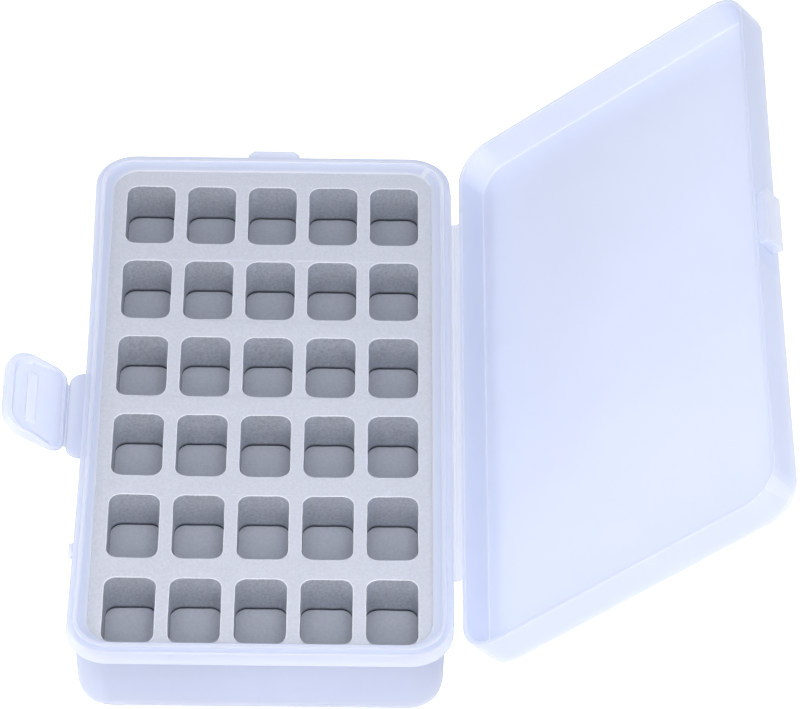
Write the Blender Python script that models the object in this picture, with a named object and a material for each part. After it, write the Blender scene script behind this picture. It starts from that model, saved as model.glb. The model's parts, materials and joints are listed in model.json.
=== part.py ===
"""Bobbin storage box: a hinged polypropylene case with a die-cut foam insert for thirty bobbins.

The origin is the centre of the tray's underside. +X points at the hinge, +Y at the far short
side and +Z up. The lid stands open and the latch flap leans outward, as in the photograph.
"""

import math

import bmesh
import bpy
from mathutils import Matrix, Vector

MM = 0.001

# Foam insert: an upper sheet cut through with pockets, on a plain sheet of the same stock
COLUMN_COUNT = 5
ROW_COUNT = 6
POCKET_WIDTH = 13.4 * MM
POCKET_LENGTH = 21.5 * MM
POCKET_RADIUS = 3.1 * MM
COLUMN_LAND = 3.6 * MM
ROW_LAND = 7.25 * MM
FOAM_SIDE_MARGIN = 3.7 * MM
FOAM_FAR_MARGIN = 5.9 * MM
FOAM_NEAR_MARGIN = 0.7 * MM
FOAM_RADIUS = 7.3 * MM
FOAM_BLOCK_HEIGHT = 12.5 * MM
FOAM_FLOOR_HEIGHT = 12.3 * MM
SEAT_GAP = 0.3 * MM

# Tray: a drafted body under a stepped collar, with a locating lip inside the ledge
FOAM_SIDE_CLEARANCE = 1.65 * MM
FOAM_FAR_CLEARANCE = 2.05 * MM
WALL = 1.3 * MM
TRAY_FLOOR = 1.4 * MM
COLLAR_STEP = 1.75 * MM
COLLAR_HEIGHT = 4.44 * MM
COLLAR_FLARE = 0.4 * MM
BODY_DRAFT = 0.5 * MM
BODY_EDGE = 6.0 * MM
RIM_RADIUS = 11.2 * MM
FOAM_SINK = 1.2 * MM
LEDGE_WIDTH = 1.5 * MM
LIP_HEIGHT = 0.8 * MM

# Lid: a shallow tray that overhangs the collar
LID_OVERHANG = 0.6 * MM
LID_DEPTH = 10.5 * MM
LID_WALL = 1.3 * MM
LID_DRAFT = 0.15 * MM
LID_EDGE = 1.8 * MM
LID_RADIUS = 10.3 * MM
LID_SEAT_GAP = 0.3 * MM

# Hinge: a strap between two folds, each fold a thinned film of the same plastic
STRAP_LENGTH = 1.2 * MM
STRAP_THICKNESS = 0.6 * MM
STRAP_SIDE_GAP = 0.1 * MM
FOLD_DROP = 0.35 * MM
STRAP_SPAN = 130.0 * MM
FILM_THICKNESS = 0.3 * MM
FILM_END_GAP = 0.2 * MM
FILM_TAPER = 0.3 * MM
LID_OPENING_DEGREES = 138.6

# Latch: a ledge on the tray's side carries the flap, whose tip hooks over the lid's catch
LINK_DROP = 10.0 * MM
LINK_REACH = 4.6 * MM
LINK_WIDTH = 30.4 * MM
LINK_THICKNESS = 1.2 * MM
LINK_RADIUS = 4.0 * MM
LATCH_FILM_LENGTH = 0.7 * MM
FLAP_LENGTH = 19.3 * MM
FLAP_WIDTH = 30.6 * MM
FLAP_TIP_WIDTH = 29.2 * MM
FLAP_THICKNESS = 1.2 * MM
FLAP_ROOT_RADIUS = 4.4 * MM
FLAP_TIP_RADIUS = 7.2 * MM
FLAP_RIM_HEIGHT = 1.7 * MM
FLAP_RIM_WIDTH = 1.3 * MM
FLAP_HOOK_WIDTH = 2.1 * MM
FLAP_RIM_START = 5.0 * MM
RIDGE_WIDTH = 1.8 * MM
RIDGE_SPAN = 15.0 * MM
RIDGE_HEIGHT = 1.0 * MM
CATCH_REACH = 3.0 * MM
CATCH_WIDTH = 17.2 * MM
CATCH_ROOT_WIDTH = 15.6 * MM
CATCH_CLEARANCE = 0.35 * MM
FLAP_TILT_DEGREES = 30.0

# Small features of the tray's collar
FAR_TAB_WIDTH = 14.5 * MM
FAR_TAB_REACH = 2.9 * MM
FAR_TAB_HEIGHT = 1.5 * MM
FAR_TAB_CHAMFER = 1.6 * MM
FAR_TAB_DROP = 0.3 * MM
NUB_WIDTH = 4.2 * MM
NUB_REACH = 0.9 * MM
NUB_HEIGHT = 1.6 * MM
NUB_SETBACK = 34.95 * MM
NUB_DROP = 0.4 * MM
PAD_REACH = 0.4 * MM
PAD_HEIGHT = 2.6 * MM
PAD_DROP = 0.2 * MM
PAD_NEAR_SETBACK = 0.3 * MM
PAD_FAR_SETBACK = 2.5 * MM

# How finely round forms are cut, and how far one shape runs into the next before a union
CORNER_STEPS = 7
POCKET_STEPS = 4
EDGE_STEPS = 4
TAB_STEPS = 5
OVERRUN = 0.5 * MM
CREASE_DEGREES = 35

# Sizes that follow
COLUMN_PITCH = POCKET_WIDTH + COLUMN_LAND
ROW_PITCH = POCKET_LENGTH + ROW_LAND
FOAM_WIDTH = COLUMN_COUNT * COLUMN_PITCH - COLUMN_LAND + 2 * FOAM_SIDE_MARGIN
FOAM_LENGTH = ROW_COUNT * ROW_PITCH - ROW_LAND + FOAM_FAR_MARGIN + FOAM_NEAR_MARGIN
CAVITY_HALF_X = FOAM_WIDTH / 2 + FOAM_SIDE_CLEARANCE
CAVITY_HALF_Y = (FOAM_LENGTH + FOAM_FAR_CLEARANCE + SEAT_GAP) / 2
RIM_HALF_X = CAVITY_HALF_X + BODY_DRAFT + WALL + COLLAR_STEP
RIM_HALF_Y = CAVITY_HALF_Y + BODY_DRAFT + WALL + COLLAR_STEP
FOAM_Y = SEAT_GAP + FOAM_LENGTH / 2 - CAVITY_HALF_Y
FOAM_FLOOR_Z = TRAY_FLOOR + SEAT_GAP
FOAM_FLOOR_EDGE = BODY_EDGE - WALL - SEAT_GAP
FOAM_BLOCK_Z = FOAM_FLOOR_Z + FOAM_FLOOR_HEIGHT + SEAT_GAP
LEDGE_Z = FOAM_BLOCK_Z + FOAM_BLOCK_HEIGHT + FOAM_SINK
COLLAR_Z = LEDGE_Z - COLLAR_HEIGHT
LID_HALF_X = RIM_HALF_X + LID_OVERHANG
LID_HALF_Y = RIM_HALF_Y + LID_OVERHANG
FOLD_X = LID_HALF_X + STRAP_SIDE_GAP + STRAP_THICKNESS / 2
PARTING_Z = LEDGE_Z + LID_SEAT_GAP / 2
TRAY_FOLD_Z = PARTING_Z - FOLD_DROP - STRAP_LENGTH / 2
LATCH_X = -(RIM_HALF_X + LINK_REACH)
LATCH_Z = LEDGE_Z - LINK_DROP
CATCH_TOP = LATCH_Z + FLAP_LENGTH - FLAP_HOOK_WIDTH - CATCH_CLEARANCE
RIDGE_START = PARTING_Z - LATCH_Z
CATCH_FOOT = LATCH_Z + RIDGE_START + RIDGE_WIDTH + CATCH_CLEARANCE


def plastic(name, colour, roughness, alpha):
    """A Principled material for one sub-part."""
    material = bpy.data.materials.new(name)
    material.use_nodes = True
    shader = material.node_tree.nodes["Principled BSDF"]
    shader.inputs["Base Color"].default_value = (*colour, 1.0)
    shader.inputs["Roughness"].default_value = roughness
    shader.inputs["Metallic"].default_value = 0.0
    shader.inputs["Alpha"].default_value = alpha
    return material


def add_object(name, bm, material=None):
    """Turns a bmesh into a shaded object in the scene."""
    bmesh.ops.recalc_face_normals(bm, faces=bm.faces)
    mesh = bpy.data.meshes.new(name)
    bm.to_mesh(mesh)
    bm.free()
    mesh.shade_smooth()
    mesh.set_sharp_from_angle(angle=math.radians(CREASE_DEGREES))
    made = bpy.data.objects.new(name, mesh)
    bpy.context.scene.collection.objects.link(made)
    if material:
        mesh.materials.append(material)
    return made


def arc(centre_x, centre_y, radius, start, steps):
    """Points of a quarter circle that turns left from the angle start, in degrees."""
    angles = [math.radians(start + 90 * step / steps) for step in range(steps + 1)]
    return [(centre_x + radius * math.cos(a), centre_y + radius * math.sin(a)) for a in angles]


def rounded_rectangle(half_x, half_y, radius, steps):
    """The outline of a rectangle with round corners, turning left."""
    x = half_x - radius
    y = half_y - radius
    return (
        arc(x, y, radius, 0, steps)
        + arc(-x, y, radius, 90, steps)
        + arc(-x, -y, radius, 180, steps)
        + arc(x, -y, radius, 270, steps)
    )


def loft(rings):
    """A closed bmesh through rings of as many points each, capped at its first and last ring."""
    bm = bmesh.new()
    loops = [[bm.verts.new(point) for point in ring] for ring in rings]
    count = len(loops[0])
    for lower, upper in zip(loops, loops[1:]):
        for i in range(count):
            j = (i + 1) % count
            bm.faces.new((lower[i], lower[j], upper[j], upper[i]))
    bm.faces.new(reversed(loops[0]))
    bm.faces.new(loops[-1])
    return bm


def prism(outline, low, high):
    """An outline in the XY plane, extruded from one height to another."""
    return loft([[(x, y, z) for x, y in outline] for z in (low, high)])


def prism_along_y(outline, half_span):
    """An outline in the XZ plane, extruded to both sides of it along Y."""
    return loft([[(x, y, z) for x, z in outline] for y in (half_span, -half_span)])


def shell(profile, half_x, half_y, radius):
    """A tray or lid: each (inset, height) of the profile is one rounded ring, from base to floor."""
    rings = []
    for inset, z in profile:
        outline = rounded_rectangle(half_x - inset, half_y - inset, radius - inset, CORNER_STEPS)
        rings.append([(x, y, z) for x, y in outline])
    return loft(rings)


def round_edge(inset, z, radius, turn):
    """Profile points of a quarter-round edge between a level face at z and a wall at inset.

    With turn 1 the wall rises from the level face, with turn -1 it falls from it.
    """
    points = []
    for step in range(EDGE_STEPS + 1):
        angle = math.radians(90 * step / EDGE_STEPS)
        inward = inset + radius * (1 - math.sin(angle))
        height = z + turn * radius * (1 - math.cos(angle))
        points.append((inward, height))
    return points


def tab_outline(root, tip, half_width, radius):
    """A tab in the XY plane that reaches from x = root to x = tip, with its tip corners rounded."""
    side = math.copysign(1, tip - root)
    y = half_width - radius
    corner = arc(0, 0, radius, 0, TAB_STEPS)
    upper = [(tip + side * (dx - radius), y + dy) for dx, dy in reversed(corner)]
    lower = [(x, -dy) for x, dy in reversed(upper)]
    return [(root, half_width)] + upper + lower + [(root, -half_width)]


def boolean(target, cutter, operation):
    """Joins a helper to the target, or cuts it away, and hides the helper."""
    cutter.hide_render = True
    cutter.display_type = "WIRE"
    cutter.parent = target
    modifier = target.modifiers.new(cutter.name, "BOOLEAN")
    modifier.operation = operation
    modifier.object = cutter
    modifier.solver = "EXACT"


def bar(name, low, high):
    """A plain block between two corners."""
    corners = [(low[0], low[1]), (high[0], low[1]), (high[0], high[1]), (low[0], high[1])]
    return add_object(name, prism(corners, low[2], high[2]))


def make_tray(material):
    """The tray with its collar, lip, latch ledge, far tab, nub, hinge pad and hinge film."""
    body = COLLAR_STEP
    foot = body + BODY_DRAFT
    inner_top = body + WALL
    inner_foot = foot + WALL
    lip_inner = LEDGE_WIDTH + WALL
    inner_edge = BODY_EDGE - WALL
    profile = (
        round_edge(foot, 0, BODY_EDGE, 1)
        + [(body, COLLAR_Z), (-COLLAR_FLARE, COLLAR_Z), (0, LEDGE_Z), (LEDGE_WIDTH, LEDGE_Z)]
        + [(LEDGE_WIDTH, LEDGE_Z + LIP_HEIGHT), (lip_inner, LEDGE_Z + LIP_HEIGHT)]
        + [(lip_inner, COLLAR_Z + WALL), (inner_top, COLLAR_Z + WALL)]
        + round_edge(inner_foot, TRAY_FLOOR, inner_edge, 1)[::-1]
    )
    tray = add_object("base_tray", shell(profile, RIM_HALF_X, RIM_HALF_Y, RIM_RADIUS), material)

    link_end = LATCH_X + LATCH_FILM_LENGTH
    link_root = -(RIM_HALF_X - COLLAR_STEP - WALL / 2)
    link = tab_outline(link_root, link_end, LINK_WIDTH / 2, LINK_RADIUS)
    half = LINK_THICKNESS / 2
    boolean(tray, add_object("latch_ledge", prism(link, LATCH_Z - half, LATCH_Z + half)), "UNION")

    half = FILM_THICKNESS / 2
    span = LINK_WIDTH / 2 - LINK_RADIUS
    film = bar(
        "latch_film",
        (LATCH_X + FILM_END_GAP, -span, LATCH_Z - half),
        (link_end + OVERRUN, span, LATCH_Z + half),
    )
    boolean(tray, film, "UNION")

    film = bar(
        "strap_film",
        (RIM_HALF_X - OVERRUN, -STRAP_SPAN / 2, TRAY_FOLD_Z - half),
        (FOLD_X - FILM_END_GAP, STRAP_SPAN / 2, TRAY_FOLD_Z + half),
    )
    boolean(tray, film, "UNION")

    top = LEDGE_Z - FAR_TAB_DROP
    root = RIM_HALF_Y - OVERRUN
    tip = RIM_HALF_Y + FAR_TAB_REACH
    wide = FAR_TAB_WIDTH / 2
    narrow = wide - FAR_TAB_CHAMFER
    tab = [(-wide, root), (wide, root), (wide, tip - FAR_TAB_CHAMFER), (narrow, tip)]
    tab += [(-narrow, tip), (-wide, tip - FAR_TAB_CHAMFER)]
    boolean(tray, add_object("far_tab", prism(tab, top - FAR_TAB_HEIGHT, top)), "UNION")

    top = LEDGE_Z - NUB_DROP
    nub_y = NUB_SETBACK - RIM_HALF_Y
    nub = bar(
        "side_nub",
        (-RIM_HALF_X - NUB_REACH, nub_y - NUB_WIDTH / 2, top - NUB_HEIGHT),
        (-RIM_HALF_X + OVERRUN, nub_y + NUB_WIDTH / 2, top),
    )
    boolean(tray, nub, "UNION")

    top = LEDGE_Z - PAD_DROP
    end = RIM_HALF_Y - RIM_RADIUS
    pad = bar(
        "hinge_pad",
        (RIM_HALF_X - OVERRUN, PAD_NEAR_SETBACK - end, top - PAD_HEIGHT),
        (RIM_HALF_X + PAD_REACH, end - PAD_FAR_SETBACK, top),
    )
    boolean(tray, pad, "UNION")
    return tray


def make_foam_block(material):
    """The upper foam sheet, cut through with a grid of pockets."""
    outline = rounded_rectangle(FOAM_WIDTH / 2, FOAM_LENGTH / 2, FOAM_RADIUS, CORNER_STEPS)
    block = add_object("foam_block", prism(outline, 0, FOAM_BLOCK_HEIGHT), material)
    block.location = (0, FOAM_Y, FOAM_BLOCK_Z)

    first_x = -(COLUMN_COUNT - 1) / 2 * COLUMN_PITCH
    first_y = POCKET_LENGTH / 2 + FOAM_NEAR_MARGIN - FOAM_LENGTH / 2
    pocket = rounded_rectangle(POCKET_WIDTH / 2, POCKET_LENGTH / 2, POCKET_RADIUS, POCKET_STEPS)
    knives = bmesh.new()
    for row in range(ROW_COUNT):
        for column in range(COLUMN_COUNT):
            centre = Vector((first_x + column * COLUMN_PITCH, first_y + row * ROW_PITCH, 0))
            knife = prism(pocket, -OVERRUN, FOAM_BLOCK_HEIGHT + OVERRUN)
            bmesh.ops.translate(knife, verts=knife.verts, vec=centre)
            cut = bpy.data.meshes.new("knife")
            knife.to_mesh(cut)
            knife.free()
            knives.from_mesh(cut)
            bpy.data.meshes.remove(cut)
    boolean(block, add_object("pocket_knives", knives), "DIFFERENCE")
    return block


def make_foam_floor(material):
    """The plain lower foam sheet, its lower edge rounded where it meets the tray's inner curve."""
    profile = round_edge(0, 0, FOAM_FLOOR_EDGE, 1) + [(0, FOAM_FLOOR_HEIGHT)]
    sheet = shell(profile, FOAM_WIDTH / 2, FOAM_LENGTH / 2, FOAM_RADIUS)
    floor = add_object("foam_floor", sheet, material)
    floor.location = (0, FOAM_Y, FOAM_FLOOR_Z)
    return floor


def make_strap(material):
    """The hinge strap, standing on its lower fold as it does when the lid is shut."""
    thin = FILM_THICKNESS / 2
    thick = STRAP_THICKNESS / 2
    side = [
        (thin, FILM_END_GAP),
        (thick, FILM_END_GAP + FILM_TAPER),
        (thick, STRAP_LENGTH - FILM_END_GAP - FILM_TAPER),
        (thin, STRAP_LENGTH - FILM_END_GAP),
    ]
    section = side + [(-x, z) for x, z in reversed(side)]
    strap = add_object("hinge_strap", prism_along_y(section, STRAP_SPAN / 2), material)
    strap.location = (FOLD_X, 0, TRAY_FOLD_Z)
    strap.rotation_euler.y = math.radians(LID_OPENING_DEGREES / 2)
    return strap


def make_lid(material, strap):
    """The lid, modelled shut about its own fold and carried by the strap."""
    rim = LID_SEAT_GAP / 2
    top = LID_DEPTH + rim
    profile = (
        round_edge(LID_DRAFT, top, LID_EDGE, -1)
        + [(0, rim), (LID_WALL, rim)]
        + round_edge(LID_DRAFT + LID_WALL, top - LID_WALL, LID_EDGE - LID_WALL, -1)[::-1]
    )
    bm = shell(profile, LID_HALF_X, LID_HALF_Y, LID_RADIUS)
    to_fold = Matrix.Translation((-FOLD_X, 0, FOLD_DROP - STRAP_LENGTH / 2))
    bmesh.ops.transform(bm, matrix=to_fold, verts=bm.verts)
    lid = add_object("lid", bm, material)
    lid.parent = strap
    lid.location = (0, 0, STRAP_LENGTH)
    lid.rotation_euler.y = math.radians(LID_OPENING_DEGREES / 2)

    wall = -LID_HALF_X - FOLD_X
    root = CATCH_ROOT_WIDTH / 2
    tip = CATCH_WIDTH / 2
    inside = wall + LID_WALL / 2
    outline = [(inside, root), (wall, root), (wall - CATCH_REACH, tip)]
    outline += [(x, -y) for x, y in reversed(outline)]
    down = TRAY_FOLD_Z + STRAP_LENGTH
    catch = add_object("lid_catch", prism(outline, CATCH_FOOT - down, CATCH_TOP - down))
    boolean(lid, catch, "UNION")

    half = FILM_THICKNESS / 2
    film = bar(
        "lid_film",
        (LID_HALF_X - OVERRUN - FOLD_X, -STRAP_SPAN / 2, -half),
        (-FILM_END_GAP, STRAP_SPAN / 2, half),
    )
    boolean(lid, film, "UNION")
    return lid


def make_flap(material):
    """The latch flap, modelled level with its hooked face up, then leaned back as photographed."""
    half = FLAP_THICKNESS / 2
    top = half + FLAP_RIM_HEIGHT
    start = -LATCH_FILM_LENGTH
    root = tab_outline(-FLAP_LENGTH / 2, start, FLAP_WIDTH / 2, FLAP_ROOT_RADIUS)
    tip = tab_outline(-FLAP_LENGTH / 2, -FLAP_LENGTH, FLAP_TIP_WIDTH / 2, FLAP_TIP_RADIUS)
    flap = add_object("latch_flap", prism(root[1:-1] + tip[::-1][1:-1], -half, top), material)
    flap.location = (LATCH_X, 0, LATCH_Z)
    flap.rotation_euler.y = math.radians(FLAP_TILT_DEGREES)

    inner_radius = FLAP_TIP_RADIUS - FLAP_RIM_WIDTH
    inner_root = FLAP_WIDTH / 2 - FLAP_RIM_WIDTH
    inner_tip = FLAP_TIP_WIDTH / 2 - FLAP_RIM_WIDTH
    hollow = tab_outline(0, FLAP_HOOK_WIDTH - FLAP_LENGTH, inner_tip, inner_radius)
    hollow = [(0, inner_root)] + hollow[1:-1] + [(0, -inner_root)]
    boolean(flap, add_object("flap_hollow", prism(hollow, half, top + OVERRUN)), "DIFFERENCE")
    shoulder = bar(
        "flap_shoulder",
        (-FLAP_RIM_START, -FLAP_WIDTH, half),
        (OVERRUN, FLAP_WIDTH, top + OVERRUN),
    )
    boolean(flap, shoulder, "DIFFERENCE")
    ridge = bar(
        "flap_ridge",
        (-RIDGE_START - RIDGE_WIDTH, -RIDGE_SPAN / 2, 0),
        (-RIDGE_START, RIDGE_SPAN / 2, half + RIDGE_HEIGHT),
    )
    boolean(flap, ridge, "UNION")

    thin = FILM_THICKNESS / 2
    span = LINK_WIDTH / 2 - LINK_RADIUS
    film = bar("flap_film", (start - OVERRUN, -span, -thin), (-FILM_END_GAP, span, thin))
    boolean(flap, film, "UNION")
    return flap


def main():
    for old in list(bpy.data.objects):
        bpy.data.objects.remove(old, do_unlink=True)
    clear_plastic = plastic("clear_polypropylene", (0.80, 0.86, 0.97), 0.35, 0.45)
    strap_plastic = plastic("hinge_polypropylene", (0.76, 0.82, 0.95), 0.4, 0.6)
    lid_plastic = plastic("lid_polypropylene", (0.80, 0.86, 0.97), 0.3, 0.45)
    flap_plastic = plastic("latch_polypropylene", (0.82, 0.88, 0.97), 0.35, 0.6)
    block_foam = plastic("grey_foam_block", (0.50, 0.51, 0.56), 0.95, 1.0)
    floor_foam = plastic("grey_foam_floor", (0.45, 0.46, 0.51), 0.95, 1.0)
    make_tray(clear_plastic)
    make_foam_block(block_foam)
    make_foam_floor(floor_foam)
    strap = make_strap(strap_plastic)
    make_lid(lid_plastic, strap)
    make_flap(flap_plastic)


main()
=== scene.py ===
"""Looks of a slim bobbin storage box: a frosted case with a living hinge and a latch, and its foam.

Every piece is modelled in metres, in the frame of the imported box. The tray stands as it is, the lid
is modelled shut and the latch flap level, and both are then turned about the folds of the frame.
"""

import json
import math

import bmesh
import bpy
from bpy.props import FloatProperty, FloatVectorProperty, PointerProperty
from mathutils import Matrix, Vector, noise


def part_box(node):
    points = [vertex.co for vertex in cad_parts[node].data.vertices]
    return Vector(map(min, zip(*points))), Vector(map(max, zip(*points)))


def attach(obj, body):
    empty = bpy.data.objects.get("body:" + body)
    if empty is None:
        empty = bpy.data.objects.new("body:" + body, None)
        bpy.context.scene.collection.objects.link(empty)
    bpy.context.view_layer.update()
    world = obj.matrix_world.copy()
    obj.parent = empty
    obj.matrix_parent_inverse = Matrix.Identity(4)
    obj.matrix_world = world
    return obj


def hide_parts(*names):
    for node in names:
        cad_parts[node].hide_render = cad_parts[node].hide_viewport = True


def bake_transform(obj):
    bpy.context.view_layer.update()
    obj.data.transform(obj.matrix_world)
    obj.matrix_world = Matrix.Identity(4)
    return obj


bl_info = {
    "name": "Bobbin storage box",
    "version": (1, 0, 0),
    "blender": (4, 5, 0),
    "location": "View3D > Sidebar > Bobbin box",
    "description": "Builds a frosted storage box with a foam insert, piece by piece",
    "category": "Add Mesh",
}

MM = 0.001
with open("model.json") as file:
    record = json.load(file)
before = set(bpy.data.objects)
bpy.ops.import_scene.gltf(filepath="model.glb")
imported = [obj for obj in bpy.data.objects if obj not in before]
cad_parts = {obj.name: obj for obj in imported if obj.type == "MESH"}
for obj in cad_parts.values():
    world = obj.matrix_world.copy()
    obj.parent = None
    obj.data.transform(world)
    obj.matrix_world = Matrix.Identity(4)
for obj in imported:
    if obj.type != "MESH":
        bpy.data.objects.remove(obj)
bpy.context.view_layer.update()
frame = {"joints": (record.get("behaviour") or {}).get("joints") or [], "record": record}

# What the frame gives
JOINTS = {joint["name"]: joint for joint in frame["joints"]}
STRAP_FOLD = Vector(JOINTS["strap_fold"]["pos_m"])
LID_FOLD = Vector(JOINTS["lid_fold"]["pos_m"])
LATCH_FOLD = Vector(JOINTS["latch_fold"]["pos_m"])
STRAP_TURN = -math.radians(JOINTS["strap_fold"]["range_deg"][0])
LID_TURN = -math.radians(JOINTS["lid_fold"]["range_deg"][0])
FLAP_TURN = math.radians(90 - JOINTS["latch_fold"]["range_deg"][1])
STRAP_LENGTH = (LID_FOLD - STRAP_FOLD).length
TRAY_LOW, TRAY_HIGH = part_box("base_tray")
BLOCK_LOW, BLOCK_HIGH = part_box("foam_block")
FLOOR_LOW, FLOOR_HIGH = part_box("foam_floor")
POCKET_BOXES = [
    opening["box_m"]
    for opening in frame["record"]["physics"]["openings"]
    if opening["name"].startswith("pocket")
]

# How finely the forms are cut: steps in the corners of the case, of its fittings and of small
# parts, steps in a moulded edge and through a fold, and points along a straight side
CORNER_STEPS = 14
FITTING_STEPS = 8
SMALL_STEPS = 3
FILLET_STEPS = 4
FOLD_STEPS = 8
SIDE_STEPS = 12

CREASE = math.radians(50)  # a sharper angle between faces stays sharp
UNION_DEPTH = 0.5 * MM  # how far a form reaches into the one that it joins
FOLD_BEND = 0.25 * MM  # how far from its fold a film starts to bend
SHELF_BEND = 0.9  # share of the shelf's width where it turns down beside the foam
WALL_TILT = 0.3  # faces of the foam whose normals rise less are cut walls
SKIN_TILT = 0.97  # faces whose normals rise more are its skin
SLACK = 1.01  # widens a test on an edge's radius, for rounding
CUT_WAVES = 260  # waves per metre along a cut
SECOND_DRAW = Vector((7, 3, 1))  # where the noise for the second axis is read
FLOOR_GAP = 0.05 * MM  # keeps the stage's floor clear of the underside

# The soft lights: name, place and size in metres, power in watts, and colour
LAMPS = (
    ("left_softbox", (-1.1, -0.2, 0.5), 0.6, 4.6, (1, 1, 1)),
    ("right_softbox", (0.92, -0.1, 0.84), 0.4, 4.2, (1, 1, 1)),
    ("front_softbox", (0.0, -0.7, 0.38), 0.5, 2.85, (1, 0.95, 0.92)),
    ("top_softbox", (0.0, -0.3, 0.7), 0.4, 1.8, (1, 1, 1)),
    ("back_softbox", (-0.2, 1.2, 0.5), 0.6, 2.5, (1, 1, 1)),
)
LAMPS_AIM = Vector((0.03, 0, 0.03))


def length(name, default, description):
    """A property for a length, shown in the scene's units."""
    return FloatProperty(
        name=name, description=description, default=default, unit="LENGTH", precision=5
    )


def factor(name, default, description):
    """A property for a share or a slope, from 0 to 1."""
    return FloatProperty(
        name=name, description=description, default=default, subtype="FACTOR", min=0, max=1
    )


def tint(name, default, description):
    """A property for a colour, in linear light."""
    return FloatVectorProperty(
        name=name, description=description, default=default, subtype="COLOR", min=0, max=1
    )


class TraySettings(bpy.types.PropertyGroup):
    """Sizes of the tray."""

    hinge_margin: length("Hinge margin", 1.0 * MM, "From the rim's side to the strap's fold")
    collar_flare: length("Collar flare", 0.4 * MM, "How far the collar's foot stands past the rim")
    collar_height: length("Collar height", 4.44 * MM, "From the ledge down to the collar's foot")
    collar_step: length("Collar step", 1.75 * MM, "From the rim in to the body's wall")
    body_draft: length("Draft", 0.5 * MM, "How far the body's wall leans in at its foot")
    body_edge: length("Bottom edge", 6.0 * MM, "Radius of the edge round the underside")
    rim_radius: length("Corner radius", 11.2 * MM, "Radius of the rim's corners")
    wall: length("Wall", 1.3 * MM, "Thickness of the wall")
    floor: length("Floor", 1.4 * MM, "Thickness of the floor")
    ledge: length("Ledge", 1.5 * MM, "Width of the ledge that the lid sits on")
    lip: length("Lip", 0.8 * MM, "Height of the lip inside the ledge")
    shelf_rise: length("Shelf rise", 0.35 * MM, "From the ledge up to the shelf beside the foam")
    shelf_lean: length("Shelf lean", 0.6 * MM, "How far the shelf falls towards the foam")
    shelf_root: length("Shelf root", 2.3 * MM, "From the rim in to the shelf's root")
    shelf_gap: length("Shelf gap", 0.05 * MM, "Gap between the shelf and the foam")
    edge: length("Edge", 0.35 * MM, "Radius of the small moulded edges")
    link_reach: length("Latch ledge", 4.6 * MM, "From the rim out to the latch's fold")
    link_width: length("Latch ledge width", 30.4 * MM, "Width of the latch ledge")
    link_stop: length("Latch ledge stop", 0.2 * MM, "From the latch ledge to its fold")
    link_thickness: length("Latch ledge thickness", 1.2 * MM, "Thickness of the latch ledge")
    link_radius: length("Latch ledge radius", 4.0 * MM, "Radius of the latch ledge's corners")
    tab_width: length("Far tab width", 14.5 * MM, "Width of the tab on the far short side")
    tab_reach: length("Far tab reach", 2.9 * MM, "How far the far tab stands out")
    tab_height: length("Far tab height", 1.5 * MM, "Thickness of the far tab")
    tab_chamfer: length("Far tab chamfer", 1.6 * MM, "Cut of the far tab's corners")
    nub_width: length("Nub width", 4.2 * MM, "Width of the nub on the latch side")
    nub_reach: length("Nub reach", 0.9 * MM, "How far the nub stands out")
    nub_height: length("Nub height", 1.6 * MM, "Height of the nub")
    nub_setback: length("Nub setback", 34.95 * MM, "From the near end of the rim to the nub")
    nub_drop: length("Nub drop", 0.4 * MM, "From the ledge down to the nub's top")
    pad_reach: length("Hinge pad reach", 0.4 * MM, "How far the pad beside the hinge stands out")
    pad_height: length("Hinge pad height", 2.6 * MM, "Height of the hinge pad")
    pad_drop: length("Hinge pad drop", 0.2 * MM, "From the ledge down to the hinge pad's top")
    pad_near: length("Hinge pad near end", 11.5 * MM, "From the rim's near end to the hinge pad")
    pad_far: length("Hinge pad far end", 13.7 * MM, "From the rim's far end to the hinge pad")
    spread: length("Spread", 0.3 * MM, "How far the latch side stands out at its ends")
    bow: length("Bow", 0.95 * MM, "How far the latch side is drawn in at its middle")


class LidSettings(bpy.types.PropertyGroup):
    """Sizes of the lid."""

    overhang: length("Overhang", 0.6 * MM, "How far the lid stands out past the rim")
    depth: length("Depth", 10.5 * MM, "From the lid's rim to its outer face")
    wall: length("Wall", 1.3 * MM, "Thickness of the wall")
    draft: length("Draft", 0.15 * MM, "How far the wall leans in at the panel")
    radius: length("Corner radius", 10.3 * MM, "Radius of the lid's corners")
    bow: length("Bow", 0.35 * MM, "How far the free side is drawn in at its middle")
    spread: length("Spread", 0.1 * MM, "How far the free side stands out at its ends")
    panel_edge: length("Panel edge", 1.8 * MM, "Radius of the edge round the panel")
    inner_edge: length("Inner edge", 0.5 * MM, "Radius of the inside edge round the panel")
    rim_edge: length("Rim edge", 0.35 * MM, "Radius of the rim's edges")
    seat_gap: length("Seat gap", 0.3 * MM, "Gap between the rims when the lid is shut")
    catch_reach: length("Catch reach", 3.2 * MM, "How far the catch stands out")
    catch_width: length("Catch width", 19.0 * MM, "Width of the catch at its tip")
    catch_aside: length("Catch set aside", 2.6 * MM, "From the side's middle to the catch's")
    catch_root: length("Catch root", 17.4 * MM, "Width of the catch at the wall")
    catch_low: length("Catch foot", 0.6 * MM, "From the lid's rim up to the catch")
    catch_high: length("Catch top", 6.55 * MM, "From the lid's rim up to the catch's far face")


class HingeSettings(bpy.types.PropertyGroup):
    """Sizes of the strap and the films."""

    span: length("Span", 130.0 * MM, "Length of the hinge")
    strap: length("Strap thickness", 0.6 * MM, "Thickness of the strap")
    film: length("Film thickness", 0.3 * MM, "Thickness of the films that fold")
    film_reach: length("Film reach", 0.3 * MM, "How far a film runs to each side of its fold")


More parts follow.
